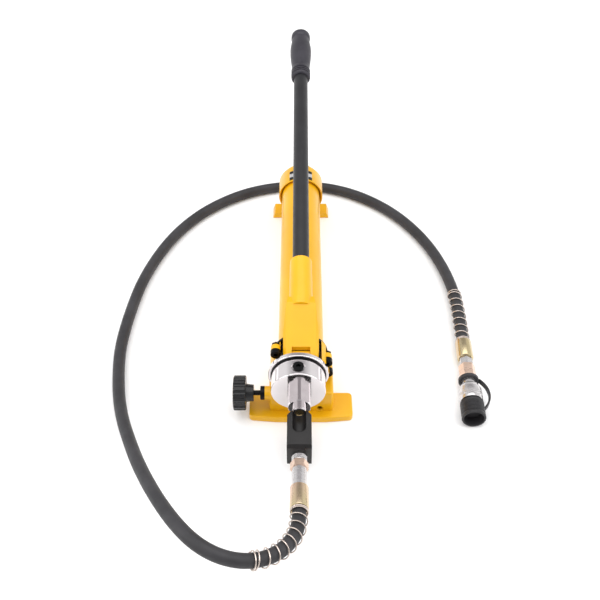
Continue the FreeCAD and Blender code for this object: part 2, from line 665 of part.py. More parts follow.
def release_knob():
    wheel = rod(KNOB_R, KNOB_T, V(0, 0, 0), X_AXIS)
    wheel = wheel.makeFillet(2.0, [e for e in wheel.Edges if e.Closed])
    for i in range(KNOB_FLUTES):
        a = 2 * math.pi * i / KNOB_FLUTES
        spot = V(-1, (KNOB_R + 1.6) * math.cos(a), (KNOB_R + 1.6) * math.sin(a))
        wheel = wheel.cut(rod(FLUTE_R, KNOB_T + 2, spot, X_AXIS))
    hub = Part.makeCone(14.5, 13.0, 12.0, V(KNOB_T, 0, 0), X_AXIS)
    knob = wheel.fuse(hub).cut(rod(4.0, 60, V(6.0, 0, 0), X_AXIS))
    knob.translate(V(KNOB_X, RELEASE_Y, RELEASE_Z))
    return knob


def release_ball():
    return Part.makeSphere(BALL_R, V(-35.4, RELEASE_Y, RELEASE_Z))


def relief_adjuster():
    x, z = RELIEF
    screw = rod(4.5, 7.0, V(x, BLOCK_Y[0] + 5, z), Y_AXIS)
    key = hexagon(4.0, 3.0, V(0, 0, 0), Z_AXIS)
    key.rotate(V(0, 0, 0), X_AXIS, -90)
    key.translate(V(x, BLOCK_Y[0] + 5, z))
    return screw.cut(key)


def relief_spring():
    return coil(3.4, 0.6, 2.2, 11.0, V(RELIEF[0], BLOCK_Y[0] + 13.2, RELIEF[1]), Y_AXIS)


def relief_ball():
    return Part.makeSphere(BALL_R, V(RELIEF[0], BLOCK_Y[0] + 29.0, RELIEF[1]))


# ---- outlet block and hose end ------------------------------------------------------------
def outlet_adapter():
    body = hexagon(ADAPTER_AF, ADAPTER_Y[1] - ADAPTER_Y[0], V(PORT_X, ADAPTER_Y[0], PORT_Z), Y_AXIS)
    front = Part.makeCone(ADAPTER_TURNED_R - 1.5, ADAPTER_TURNED_R, 1.5,
                          V(PORT_X, ADAPTER_Y[0], PORT_Z), Y_AXIS)
    barrel = rod(ADAPTER_TURNED_R, 19.5, V(PORT_X, ADAPTER_Y[0] + 1.5, PORT_Z), Y_AXIS)
    body = body.common(front.fuse(barrel))
    stub = rod(PORT_R, 12, V(PORT_X, ADAPTER_Y[1], PORT_Z), Y_AXIS)
    return body.fuse(stub).cut(rod(3.0, 40, V(PORT_X, ADAPTER_Y[0], PORT_Z), Y_AXIS))


def outlet_nose():
    length = NOSE_Y[1] - NOSE_Y[0]
    body = rod(NOSE_PIN_R, length, V(PORT_X, NOSE_Y[0], PORT_Z), Y_AXIS)
    return body.cut(rod(7.0, 4.0, V(PORT_X, NOSE_Y[0], PORT_Z), Y_AXIS))


def nose_insert():
    return rod(7.0, 3.2, V(PORT_X, NOSE_Y[0] + 0.8, PORT_Z), Y_AXIS)


def fitting_passage(radius):
    """Tilted bay for the hose stem, open below."""
    bay = along(0, 40, radius)
    slot = box((-radius, radius), (-40, 0), (-30, 0))
    return front_piece(bay.fuse(slot))


def outlet_block():
    x = (PORT_X - OUT_BLOCK_HALF_W, PORT_X + OUT_BLOCK_HALF_W)
    block = box(x, OUT_BLOCK_Y, OUT_BLOCK_Z)

    def top_side(edge):
        level = min(v.Z for v in edge.Vertexes) > OUT_BLOCK_Z[1] - 0.1
        return level and abs(edge.Vertexes[0].Y - edge.Vertexes[-1].Y) > 10
    block = rounded(block, 2.0, top_side)
    for side in (-1, 1):
        corner = PORT_X + side * OUT_BLOCK_HALF_W
        rear = OUT_BLOCK_Y[1]
        wedge = (V(corner + side, rear - 9, 20), V(corner + side, rear + 1, 20),
                 V(corner - side * 8, rear + 1, 20))
        block = block.cut(prism(wedge, V(0, 0, 60)))
    trough = rod(NOSE_PIN_R, 30, V(PORT_X, OUT_BLOCK_Y[1] - 30, PORT_Z), Y_AXIS)
    scoop = Part.makeSphere(NOSE_PIN_R, V(PORT_X, OUT_BLOCK_Y[1] - 30, PORT_Z))
    lead = box((PORT_X - NOSE_PIN_R, PORT_X + NOSE_PIN_R), (OUT_BLOCK_Y[1] - 30, OUT_BLOCK_Y[1] + 1),
               (PORT_Z, OUT_BLOCK_Z[1] + 5))
    front_slope = (V(x[0] - 1, OUT_BLOCK_Y[0] - 1, OUT_BLOCK_Z[1] - 6),
                   V(x[0] - 1, OUT_BLOCK_Y[0] - 1, OUT_BLOCK_Z[1] + 1),
                   V(x[0] - 1, OUT_BLOCK_Y[0] + 5, OUT_BLOCK_Z[1] + 1))
    slope = prism(front_slope, V(x[1] - x[0] + 2, 0, 0))
    for tool in (trough, scoop, lead, slope, fitting_passage(11.4)):
        block = block.cut(tool)
    return block.removeSplitter()


def hose_stem():
    return front_piece(along(0.0, 27.0, STEM_R))


def hose_nut():
    nut = hexagon(24.0, 12.0, V(0, -39, 0), Y_AXIS, corner_up=False)
    return front_piece(nut)


def hose_collar():
    return front_piece(along(39.0, 33.0, 11.0))


def ferrule_shape():
    body = rod(FERRULE_R, FERRULE_LEN, V(0, -FERRULE_LEN, 0), Y_AXIS)
    shoulder = [e for e in body.Edges if e.Closed and e.CenterOfMass.y > -1]
    return body.makeChamfer(2.5, shoulder)


def front_ferrule():
    body = ferrule_shape()
    body.translate(V(0, -72, 0))
    return front_piece(body)


def route_points():
    return [V(*p) for p in ROUTE]


def route_edges(points, report):
    """Straight runs joined by tangent arcs; the arc takes 0.45 of the shorter run."""
    edges = []
    start = points[0]
    for i in range(1, len(points) - 1):
        before = points[i] - points[i - 1]
        after = points[i + 1] - points[i]
        turn = before.getAngle(after)
        take = 0.45 * min(before.Length, after.Length)
        radius = take / math.tan(turn / 2)
        enter = points[i] - V(before).normalize() * take
        leave = points[i] + V(after).normalize() * take
        to_mid = ((enter + leave) * 0.5 - points[i]).normalize()
        middle = points[i] + to_mid * (math.hypot(radius, take) - radius)
        edges.append(Part.LineSegment(start, enter).toShape())
        edges.append(Part.Arc(enter, middle, leave).toShape())
        start = leave
        if report:
            print("turn %2d: %5.1f deg, radius %5.0f mm" % (i, math.degrees(turn), radius))
    edges.append(Part.LineSegment(start, points[-1]).toShape())
    return edges


def swept(edges, radius):
    path = Part.Wire(edges)
    begin = edges[0]
    heading = begin.tangentAt(begin.FirstParameter)
    circle = Part.Wire(Part.makeCircle(radius, begin.Vertexes[0].Point, heading))
    return path.makePipeShell([circle], True, True)


def hose():
    edges = route_edges(route_points(), True)
    tube = swept(edges, HOSE_R)
    length = sum(e.Length for e in edges)
    want = math.pi * HOSE_R ** 2 * length
    print("hose length %.0f mm, volume / (section x length) %.5f" % (length, tube.Volume / want))
    return tube


def guard(edges, radii):
    return swept(edges, radii[1]).cut(swept(edges, radii[0]))


def front_spring_guard():
    edges = route_edges(route_points()[:FRONT_GUARD_RUNS + 2], False)
    return guard(edges[:2 * FRONT_GUARD_RUNS], FRONT_GUARD_R)


def far_spring_guard():
    edges = route_edges(route_points()[-5:], False)
    return guard(edges[-4:], FAR_GUARD_R)


# ---- coupler at the hose's far end --------------------------------------------------------
def far_ferrule():
    body = rod(FERRULE_R, FERRULE_LEN - 0.5, V(0, -FERRULE_LEN + 0.5, 0), Y_AXIS)
    edge = [e for e in body.Edges if e.Closed and e.CenterOfMass.y < -10]
    return far_piece(body.makeChamfer(2.5, edge))


def far_hex():
    groove = along(39.5, 2.5, 9.0)
    return far_piece(groove.fuse(hexagon(20.5, 14.0, V(0, -56.0, 0), Y_AXIS)))


def far_nut():
    return far_piece(hexagon(24.0, 27.0, V(0, -83.0, 0), Y_AXIS, corner_up=False))


def coupler_body():
    body = fuse([along(83.0, 17.0, 11.3), along(100.0, 48.0, 14.0)])
    return far_piece(body.cut(along(116.0, 33.0, 8.5)))


def coupler_sleeve():
    flare = Part.makeCone(18.5, 14.6, 9.0, V(0, -109.0, 0), Y_AXIS)
    barrel = along(109.0, 24.0, 18.5)
    barrel = barrel.cut(ring(20, 17.6, 1.6, V(0, -119.0, 0), Y_AXIS))
    sleeve = fuse([flare, barrel]).cut(along(95.0, 50.0, 14.0 + SHAFT_GAP))
    return far_piece(sleeve)


def coupler_poppet():
    stem = along(121.0, 15.0, 3.0)
    face = along(136.0, 6.0, 6.0)
    return far_piece(fuse([stem, face]))


def poppet_spring():
    body = coil(4.8, 0.6, 2.75, 11.0, V(0, -132.5, 0), Y_AXIS)
    return far_piece(body)


def cap_ring():
    return far_piece(ring(16.5, 11.3, 5.0, V(0, -89.0, 0), Y_AXIS))


def dust_cap():
    shell = along(135.0, 32.0, 19.3)
    shell = shell.makeFillet(1.5, [e for e in shell.Edges if e.Closed])
    inside = along(134.0, 15.0, 14.0 + GAP)
    hollow = Part.makeCone(16.0, 13.5, 14.0, V(0, -167.01, 0), Y_AXIS)
    return far_piece(shell.cut(inside).cut(hollow))


def cap_strap():
    """Flat band from the ring's side round to the cap's side."""
    outer = (V(16.55, -84.5, 0), V(31.5, -114.0, 0), V(19.4, -147.0, 0))
    inner = (V(16.55, -87.5, 0), V(28.6, -114.0, 0), V(19.4, -143.0, 0))
    wire = Part.Wire([
        Part.Arc(*outer).toShape(), Part.LineSegment(outer[2], inner[2]).toShape(),
        Part.Arc(inner[2], inner[1], inner[0]).toShape(), Part.LineSegment(inner[0], outer[0]).toShape()])
    band = Part.Face(wire).extrude(V(0, 0, 9))
    band.translate(V(0, 0, -4.5))
    return far_piece(band)


PARTS = {
    "base_casting": base_casting, "pump_head": pump_head, "head_plug": head_plug,
    "head_seal_ring": head_seal_ring, "tie_screws": tie_screws, "tank_tube": tank_tube,
    "tank_gasket": tank_gasket, "clamp_ring": clamp_ring, "screw_nuts": screw_nuts, "rear_cap": rear_cap,
    "cap_o_ring": cap_o_ring, "filler_plug": filler_plug, "rating_plate": rating_plate,
    "oil_bladder": oil_bladder, "suction_tube": suction_tube, "suction_filter": suction_filter,
    "lever_yoke": lever_yoke, "handle_tube": handle_tube, "handle_grip": handle_grip,
    "handle_screw": handle_screw, "pivot_pin": pivot_pin, "plunger_pin": plunger_pin,
    "pin_clips": pin_clips, "plunger": plunger, "gland_nut": gland_nut,
    "plunger_seal": plunger_seal, "inlet_plug": inlet_plug, "inlet_ball": inlet_ball,
    "inlet_spring": inlet_spring, "outlet_ball": outlet_ball, "outlet_spring": outlet_spring,
    "release_spindle": release_spindle, "release_collar": release_collar,
    "release_knob": release_knob, "release_ball": release_ball,
    "relief_adjuster": relief_adjuster, "relief_spring": relief_spring,
    "relief_ball": relief_ball, "outlet_adapter": outlet_adapter, "outlet_nose": outlet_nose,
    "nose_insert": nose_insert, "outlet_block": outlet_block, "hose_stem": hose_stem,
    "hose_nut": hose_nut, "hose_collar": hose_collar, "front_ferrule": front_ferrule,
    "front_spring_guard": front_spring_guard, "hose": hose, "far_spring_guard": far_spring_guard,
    "far_ferrule": far_ferrule, "far_hex": far_hex, "far_nut": far_nut,
    "coupler_body": coupler_body, "coupler_sleeve": coupler_sleeve,
    "coupler_poppet": coupler_poppet, "poppet_spring": poppet_spring, "cap_ring": cap_ring,
    "dust_cap": dust_cap, "cap_strap": cap_strap,
}

os.makedirs("parts", exist_ok=True)
for name, make in PARTS.items():
    shape = make()
    state = "ok" if shape.isValid() else "INVALID"
    print("%-20s %8.2f cm3  solids %d  %s" % (name, shape.Volume / 1000, len(shape.Solids), state))
    shape.exportStep("parts/" + name + ".step")
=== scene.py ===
import math
import json
import bpy
from mathutils import Matrix, Vector


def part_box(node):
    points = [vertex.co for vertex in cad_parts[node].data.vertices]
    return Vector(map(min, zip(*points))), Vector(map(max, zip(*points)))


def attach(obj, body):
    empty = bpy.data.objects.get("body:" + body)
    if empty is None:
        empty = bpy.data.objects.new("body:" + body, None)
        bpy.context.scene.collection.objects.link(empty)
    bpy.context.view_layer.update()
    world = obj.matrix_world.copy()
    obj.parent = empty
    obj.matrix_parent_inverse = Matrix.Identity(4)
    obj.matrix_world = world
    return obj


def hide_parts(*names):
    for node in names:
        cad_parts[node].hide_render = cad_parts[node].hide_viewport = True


bl_info = {
    "name": "Hydraulic hand pump",
    "version": (1, 0, 0),
    "blender": (4, 5, 0),
    "location": "3D View > Sidebar > Pump",
    "description": "Finishes, hose, spring guards and coupler of a hydraulic hand pump",
    "category": "Object",
}

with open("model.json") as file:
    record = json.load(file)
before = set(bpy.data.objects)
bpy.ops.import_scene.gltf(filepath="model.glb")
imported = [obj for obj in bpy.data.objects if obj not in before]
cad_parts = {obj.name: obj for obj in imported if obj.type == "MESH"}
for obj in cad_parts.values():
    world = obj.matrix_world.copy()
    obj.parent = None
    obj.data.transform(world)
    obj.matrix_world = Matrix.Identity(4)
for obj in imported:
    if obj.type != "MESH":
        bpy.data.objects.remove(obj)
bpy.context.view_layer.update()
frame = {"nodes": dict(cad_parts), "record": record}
NODES = frame["nodes"]
MM = 0.001

# Route of the hose's centreline, from the outlet block's ferrule to the coupler's ferrule.
ROUTE_MM = (
    (-2.5, -218.95, 56.6), (-2.5, -246.0, 60.4), (-14.0, -275.0, 67.0), (-36.0, -299.0, 76.0),
    (-67.0, -313.0, 87.0), (-101.0, -312.0, 96.0), (-133.0, -297.0, 101.0), (-161.0, -269.0, 98.0),
    (-188.0, -231.0, 88.0), (-213.0, -188.0, 73.0), (-237.0, -141.0, 57.0), (-258.0, -92.0, 41.0),
    (-278.0, -42.0, 28.0), (-293.0, 10.0, 18.0), (-303.0, 63.0, 11.8), (-309.0, 116.0, 10.2),
    (-308.0, 170.0, 10.1), (-303.0, 227.0, 10.1), (-295.0, 286.0, 10.1), (-280.0, 344.0, 10.1),
    (-259.0, 401.0, 10.1), (-231.0, 453.0, 10.1), (-196.0, 498.0, 10.1), (-154.0, 535.0, 10.1),
    (-108.0, 563.0, 10.1), (-56.0, 580.0, 10.1), (0.0, 586.0, 10.1), (56.0, 579.0, 10.1),
    (107.0, 559.0, 10.1), (152.0, 528.0, 10.1), (192.0, 488.0, 10.1), (225.0, 440.0, 10.1),
    (251.0, 386.0, 10.2), (269.0, 326.0, 11.4), (279.5, 262.0, 13.1), (280.5, 196.0, 14.15),
    (278.0, 131.0, 15.9),
)
ROUTE = [Vector(p) * MM for p in ROUTE_MM]

# Axes of the two ends: each fitting is turned along +Z and then laid on its axis.
FRONT_ORIGIN = Vector((-2.5, -108.0, 41.0)) * MM
FRONT_LIFT = math.radians(8.0)
FAR_ORIGIN = Vector((278.0, 131.0, 15.9)) * MM
FAR_TURN = math.radians(-2.2)
FAR_LIFT = math.radians(1.55)
SOCKET_MOUTH = Vector((0.0, 175.5, 162.0)) * MM
HANDLE_LIFT = math.radians(9.0)
HANDLE_LEN = 598.0 * MM
GRIP_LEN = 136.0 * MM

FRONT_FERRULE_START = 72.0      # along the front fitting, in millimetres
FRONT_FERRULE_LEN = 40.0
FAR_FERRULE_LEN = 39.5
THREADS = 14
THREAD_PITCH = 1.8
GUARD_STEPS = 28                # points in each turn of guard wire
CLOSED_TURNS = 1.5              # turns that lie against each other at each end of a guard
CLOSED_PITCH = 1.15             # pitch of those turns, in wire diameters
PLATE_FOIL_HALF_W = 0.0080      # half the width of the data plate's bare foil, in metres
PLATE_FOIL_HALF_D = 0.0052

CAMERA_PLACE = (-0.0015, -0.833, 1.066)
CAMERA_DIP = math.radians(44.5)
CAMERA_LENS = 49.8
FLOOR_DROP = 0.0005


# ---- sizes and colours a user would change -------------------------------------------------
def colour(name, text, value):
    return bpy.props.FloatVectorProperty(name=name, description=text, default=value, size=3,
                                         min=0.0, max=1.0, subtype="COLOR")


def length(name, text, value):
    return bpy.props.FloatProperty(name=name, description=text, default=value, min=0.0,
                                   unit="LENGTH")


class PumpSizes(bpy.types.PropertyGroup):
    hose_diameter: length("Hose diameter", "Outside diameter of the rubber hose", 0.020)
    guard_wire: length("Guard wire", "Diameter of the spring guards' wire", 0.0021)
    front_guard_length: length("Front guard", "Length of the guard at the outlet block", 0.124)
    far_guard_length: length("Far guard", "Length of the guard at the coupler", 0.125)
    front_guard_radius: length("Front guard radius", "Radius of the coil's centre line", 0.0124)
    far_guard_radius: length("Far guard radius", "Radius of the coil's centre line", 0.0116)
    front_guard_turns: bpy.props.IntProperty(
        name="Front guard turns", description="Turns of wire at the outlet block", default=11)
    far_guard_turns: bpy.props.IntProperty(
        name="Far guard turns", description="Turns of wire at the coupler", default=10)
    cast_edge: length("Cast edge", "Radius on the edges of the castings", 0.0012)


class PumpColours(bpy.types.PropertyGroup):
    enamel: colour("Enamel", "Yellow paint of the castings and tank", (0.78, 0.41, 0.004))
    chrome: colour("Chrome", "Plating of the pump head", (0.78, 0.74, 0.75))
    oxide: colour("Black oxide", "Screws, pins and rings", (0.014, 0.014, 0.015))
    lever_black: colour("Lever black", "Coating of the lever tube", (0.016, 0.016, 0.018))
    rubber: colour("Rubber", "Hose, rings and strap", (0.030, 0.029, 0.032))
    grip: colour("Grip", "Moulded hand grip", (0.030, 0.028, 0.036))
    knob: colour("Knob", "Moulded release knob", (0.014, 0.014, 0.015))
    block: colour("Outlet block", "Black coating of the outlet block", (0.012, 0.011, 0.011))
    zinc: colour("Bright zinc", "Plating of the steel fittings", (0.66, 0.64, 0.64))
    copper: colour("Copper", "Plating of the hose nuts", (0.78, 0.58, 0.46))
    ferrule: colour("Yellow zinc", "Passivated ferrules", (0.60, 0.50, 0.26))
    brass: colour("Brass", "Insert in the outlet nose", (0.66, 0.50, 0.24))
    wire: colour("Guard wire", "Spring guards", (0.58, 0.50, 0.45))


# ---- materials -----------------------------------------------------------------------------
class Finish:
    """A material whose colour, roughness and relief vary over the piece."""

    def __init__(self, name):
        self.material = bpy.data.materials.new(name)
        self.material.use_nodes = True
        self.nodes = self.material.node_tree.nodes
        self.links = self.material.node_tree.links
        self.shader = self.nodes["Principled BSDF"]
        self.place = self.nodes.new("ShaderNodeTexCoord").outputs["Object"]
        self.relief = None

    def set(self, **values):
        for key, value in values.items():
            self.shader.inputs[key.replace("_", " ")].default_value = value

    def grain(self, scale, detail=3.0, stretch=(1.0, 1.0, 1.0), roughness=0.55):
        mapping = self.nodes.new("ShaderNodeMapping")
        mapping.inputs["Scale"].default_value = stretch
        self.links.new(self.place, mapping.inputs["Vector"])
        noise = self.nodes.new("ShaderNodeTexNoise")
        noise.inputs["Scale"].default_value = scale
        noise.inputs["Detail"].default_value = detail
        noise.inputs["Roughness"].default_value = roughness
        self.links.new(mapping.outputs["Vector"], noise.inputs["Vector"])
        return noise.outputs["Fac"]

    def arithmetic(self, operation, first, second=None):
        node = self.nodes.new("ShaderNodeMath")
        node.operation = operation
        self.links.new(first, node.inputs[0])
        if isinstance(second, bpy.types.NodeSocket):
            self.links.new(second, node.inputs[1])
        elif second is not None:
            node.inputs[1].default_value = second
        return node.outputs[0]

    def colours(self, factor, low, high, start=0.35, stop=0.65):
        ramp = self.nodes.new("ShaderNodeValToRGB")
        ramp.color_ramp.elements[0].position = start
        ramp.color_ramp.elements[1].position = stop
        ramp.color_ramp.elements[0].color = (*low, 1.0)
        ramp.color_ramp.elements[1].color = (*high, 1.0)
        self.links.new(factor, ramp.inputs["Fac"])
        self.links.new(ramp.outputs["Color"], self.shader.inputs["Base Color"])
        return ramp

    def gloss(self, factor, low, high):
        span = self.nodes.new("ShaderNodeMapRange")
        span.inputs["From Min"].default_value = 0.3
        span.inputs["From Max"].default_value = 0.7
        span.inputs["To Min"].default_value = low
        span.inputs["To Max"].default_value = high
        self.links.new(factor, span.inputs["Value"])
        self.links.new(span.outputs["Result"], self.shader.inputs["Roughness"])

    def bump(self, factor, depth, strength=1.0):
        bump = self.nodes.new("ShaderNodeBump")
        bump.inputs["Distance"].default_value = depth
        bump.inputs["Strength"].default_value = strength
        self.links.new(factor, bump.inputs["Height"])
        if self.relief is not None:
            self.links.new(self.relief, bump.inputs["Normal"])
        self.relief = bump.outputs["Normal"]
        self.links.new(self.relief, self.shader.inputs["Normal"])


def shade(tone, factor):
    return tuple(min(1.0, channel * factor) for channel in tone)


def enamel(name, tone, peel, cast):
    """Gloss paint: slight orange peel, and under it the grain of a casting."""
    finish = Finish(name)
    finish.colours(finish.grain(9.0, 4.0), shade(tone, 0.93), shade(tone, 1.05))
    finish.gloss(finish.grain(60.0, 3.0), 0.28, 0.35)
    if cast:
        finish.bump(finish.grain(230.0, 5.0), cast)
    finish.bump(finish.grain(900.0, 2.0), peel)
    finish.set(Coat_Weight=0.12, Coat_Roughness=0.12, Specular_IOR_Level=0.38)
    return finish.material


def plated(name, tone, low, high, lines=(1.0, 1.0, 1.0), depth=0.00001, spread=0.10, scale=160.0):
    """Plated or turned metal with fine tool lines."""
    finish = Finish(name)
    finish.colours(finish.grain(35.0, 5.0), shade(tone, 1.0 - spread), shade(tone, 1.0 + spread))
    tool = finish.grain(scale, 4.0, lines, 0.7)
    finish.gloss(tool, low, high)
    finish.bump(tool, depth)
    finish.set(Metallic=1.0)
    return finish.material


def rubber(name, tone, low=0.46, high=0.62, grain=0.00004, sheen=0.03):
    finish = Finish(name)
    finish.colours(finish.grain(22.0, 5.0), shade(tone, 0.80), shade(tone, 1.25))
    finish.gloss(finish.grain(90.0, 4.0), low, high)
    finish.bump(finish.grain(1400.0, 3.0), grain)
    finish.set(Sheen_Weight=sheen, Sheen_Roughness=0.4, Specular_IOR_Level=0.35)
    return finish.material


def moulded(name, tone, low=0.28, high=0.42, grain=0.00003):
    finish = Finish(name)
    finish.colours(finish.grain(30.0, 4.0), shade(tone, 0.86), shade(tone, 1.16))
    finish.gloss(finish.grain(120.0, 3.0), low, high)
    finish.bump(finish.grain(1100.0, 4.0), grain)
    finish.set(Specular_IOR_Level=0.33)
    return finish.material


def yellow_zinc(name, tone):
    """Passivated plating: the colour drifts between straw, green and rose round the ferrule."""
    finish = Finish(name)
    drift = finish.grain(34.0, 2.0, (1.0, 0.2, 1.0))
    ramp = finish.colours(drift, shade(tone, 0.80), (0.72, 0.47, 0.40), 0.25, 0.80)
    middle = ramp.color_ramp.elements.new(0.50)
    middle.color = (0.66, 0.55, 0.34, 1.0)
    tool = finish.grain(420.0, 3.0, (0.15, 1.0, 0.15), 0.7)
    finish.gloss(tool, 0.15, 0.26)
    finish.bump(tool, 0.000006)
    finish.set(Metallic=1.0)
    return finish.material


def foil_plate(name):
    """Blank data plate: dark border and dark fields on brushed foil, with no lettering."""
    finish = Finish(name)
    split = finish.nodes.new("ShaderNodeSeparateXYZ")
    finish.links.new(finish.place, split.inputs["Vector"])
    low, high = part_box("rating_plate")
    centre_y = (low[1] + high[1]) / 2
    across = finish.arithmetic("ABSOLUTE", split.outputs["X"])
    along = finish.arithmetic("SUBTRACT", split.outputs["Y"], centre_y)
    along = finish.arithmetic("ABSOLUTE", along)
    fields = finish.arithmetic("MULTIPLY",
                               finish.arithmetic("GREATER_THAN", across, PLATE_FOIL_HALF_W),
                               finish.arithmetic("GREATER_THAN", along, PLATE_FOIL_HALF_D))
    finish.colours(fields, (0.62, 0.62, 0.63), (0.02, 0.02, 0.02), 0.45, 0.55)
    finish.gloss(finish.grain(300.0, 3.0, (1.0, 0.1, 1.0)), 0.25, 0.4)
    finish.bump(finish.grain(500.0, 3.0, (1.0, 0.1, 1.0)), 0.00002)
    finish.set(Metallic=0.6)
    return finish.material


def make_finishes(tones):
    round_y = (0.12, 1.0, 0.12)
    return {
        "cast_enamel": enamel("Cast enamel", tones.enamel, 0.00002, 0.00006),
        "tube_enamel": enamel("Tube enamel", tones.enamel, 0.00001, 0.0),
        "chrome": plated("Polished chrome", tones.chrome, 0.045, 0.11, round_y, 0.000004, 0.03),
        "oxide": plated("Black oxide", tones.oxide, 0.28, 0.45, spread=0.2),
        "lever_black": moulded("Lever coating", tones.lever_black, 0.30, 0.44),
        "hose": rubber("Hose rubber", tones.rubber),
        "strap": rubber("Strap rubber", shade(tones.rubber, 0.6), 0.35, 0.5),
        "grip": moulded("Grip plastic", tones.grip, 0.34, 0.5, 0.00005),
        "knob": moulded("Knob plastic", tones.knob, 0.22, 0.36),
        "block": moulded("Block coating", tones.block, 0.26, 0.40, 0.00002),
        "zinc": plated("Bright zinc", tones.zinc, 0.22, 0.29, round_y, 0.000003, 0.05),
        "copper": plated("Copper plating", tones.copper, 0.24, 0.36, round_y, 0.000008, 0.10),
        "ferrule": yellow_zinc("Yellow zinc", tones.ferrule),
        "brass": plated("Turned brass", tones.brass, 0.2, 0.34, round_y, 0.00001),
        "wire": plated("Guard wire", tones.wire, 0.18, 0.3, spread=0.2),
        "mesh": plated("Woven filter wire", tones.zinc, 0.3, 0.5, spread=0.3, scale=900.0),
        "plate": foil_plate("Blank data plate"),
    }


FINISHES = {}
NODE_FINISH = {
    "cast_enamel": ("base_casting", "rear_cap", "lever_yoke"),
    "tube_enamel": ("tank_tube",),
    "chrome": ("pump_head", "outlet_adapter", "outlet_nose"),
    "oxide": ("head_plug", "tie_screws", "screw_nuts", "clamp_ring", "head_seal_ring",
              "gland_nut", "release_collar", "pin_clips",
              "pivot_pin", "plunger_pin", "handle_screw", "filler_plug", "relief_adjuster",
              "release_spindle"),
    "lever_black": ("handle_tube",),
    "hose": ("tank_gasket", "cap_o_ring", "plunger_seal", "oil_bladder", "cap_ring"),
    "strap": ("cap_strap",),
    "knob": ("release_knob",),
    "block": ("outlet_block",),
    "zinc": ("suction_tube", "hose_stem", "hose_collar",
             "far_hex", "coupler_body", "coupler_poppet", "plunger",
             "inlet_plug", "coupler_sleeve"),
    "mesh": ("suction_filter",),
    "wire": ("inlet_ball", "inlet_spring", "outlet_ball", "outlet_spring", "release_ball",
             "relief_spring", "relief_ball", "poppet_spring"),
    "copper": ("hose_nut", "far_nut"),
    "ferrule": ("front_ferrule", "far_ferrule"),
    "brass": ("nose_insert",),
    "plate": ("rating_plate",),
    "grip": ("handle_grip",),
}


# ---- modelling helpers ---------------------------------------------------------------------
def clear_selection():
    if bpy.context.object is not None and bpy.context.object.mode != "OBJECT":
        bpy.ops.object.mode_set(mode="OBJECT")
    bpy.ops.object.select_all(action="DESELECT")


def activate(piece):
    clear_selection()
    piece.select_set(True)
    bpy.context.view_layer.objects.active = piece


def settle(piece, matrix):
    """Put a piece in its place, with that place in its mesh."""
    activate(piece)
    piece.matrix_world = matrix
    bpy.ops.object.transform_apply(location=True, rotation=True, scale=True)


def lay_along(origin, direction):
    turn = Vector((0.0, 0.0, 1.0)).rotation_difference(direction)
    return Matrix.Translation(origin) @ turn.to_matrix().to_4x4()


def front_axis():
    return Vector((0.0, -math.cos(FRONT_LIFT), math.sin(FRONT_LIFT)))


def far_axis():
    level = Vector((0.0, -math.cos(FAR_LIFT), math.sin(FAR_LIFT)))
    return Matrix.Rotation(FAR_TURN, 3, "Z") @ level


def handle_axis():
    return Vector((0.0, math.cos(HANDLE_LIFT), math.sin(HANDLE_LIFT)))


def turned(name, profile, sides=64, hollow=False, sharp=35.0):
    """Lathe work: a circle extruded and resized through (height, radius) steps in millimetres."""
    clear_selection()
    height, radius = profile[0]
    bpy.ops.mesh.primitive_circle_add(vertices=sides, radius=radius * MM, location=(0, 0, 0))
    piece = bpy.context.object
    piece.name = name
    bpy.ops.object.mode_set(mode="EDIT")
    bpy.ops.mesh.select_mode(type="VERT")
    bpy.ops.mesh.select_all(action="SELECT")
    bpy.ops.transform.translate(value=(0, 0, height * MM))
    if not hollow:
        bpy.ops.mesh.edge_face_add()
        bpy.ops.mesh.select_all(action="SELECT")
    steps = list(profile[1:])
    if hollow:
        steps.append(profile[0])
    for next_height, next_radius in steps:
        bpy.ops.mesh.extrude_region_move(
            TRANSFORM_OT_translate={"value": (0, 0, (next_height - height) * MM)})
        scale = next_radius / radius
        bpy.ops.transform.resize(value=(scale, scale, 1.0),
                                 center_override=(0, 0, next_height * MM))
        height, radius = next_height, next_radius
    bpy.ops.mesh.select_all(action="SELECT")
    bpy.ops.mesh.remove_doubles(threshold=0.000002)
    bpy.ops.mesh.normals_make_consistent(inside=False)
    bpy.ops.object.mode_set(mode="OBJECT")
    bpy.ops.object.shade_smooth_by_angle(angle=math.radians(sharp))
    return piece


def pick_faces(piece, wanted):
    """Select the faces of a piece, in edit mode, that a test of centre and normal picks."""
    activate(piece)
    bpy.ops.object.mode_set(mode="EDIT")
    bpy.ops.mesh.select_mode(type="FACE")
    bpy.ops.mesh.select_all(action="DESELECT")
    bpy.ops.object.mode_set(mode="OBJECT")
    for face in piece.data.polygons:
        face.select = wanted(face.center, face.normal)
    bpy.ops.object.mode_set(mode="EDIT")


def leave_edit(piece, sharp=35.0):
    bpy.ops.object.mode_set(mode="OBJECT")
    bpy.ops.object.shade_smooth_by_angle(angle=math.radians(sharp))
    return piece


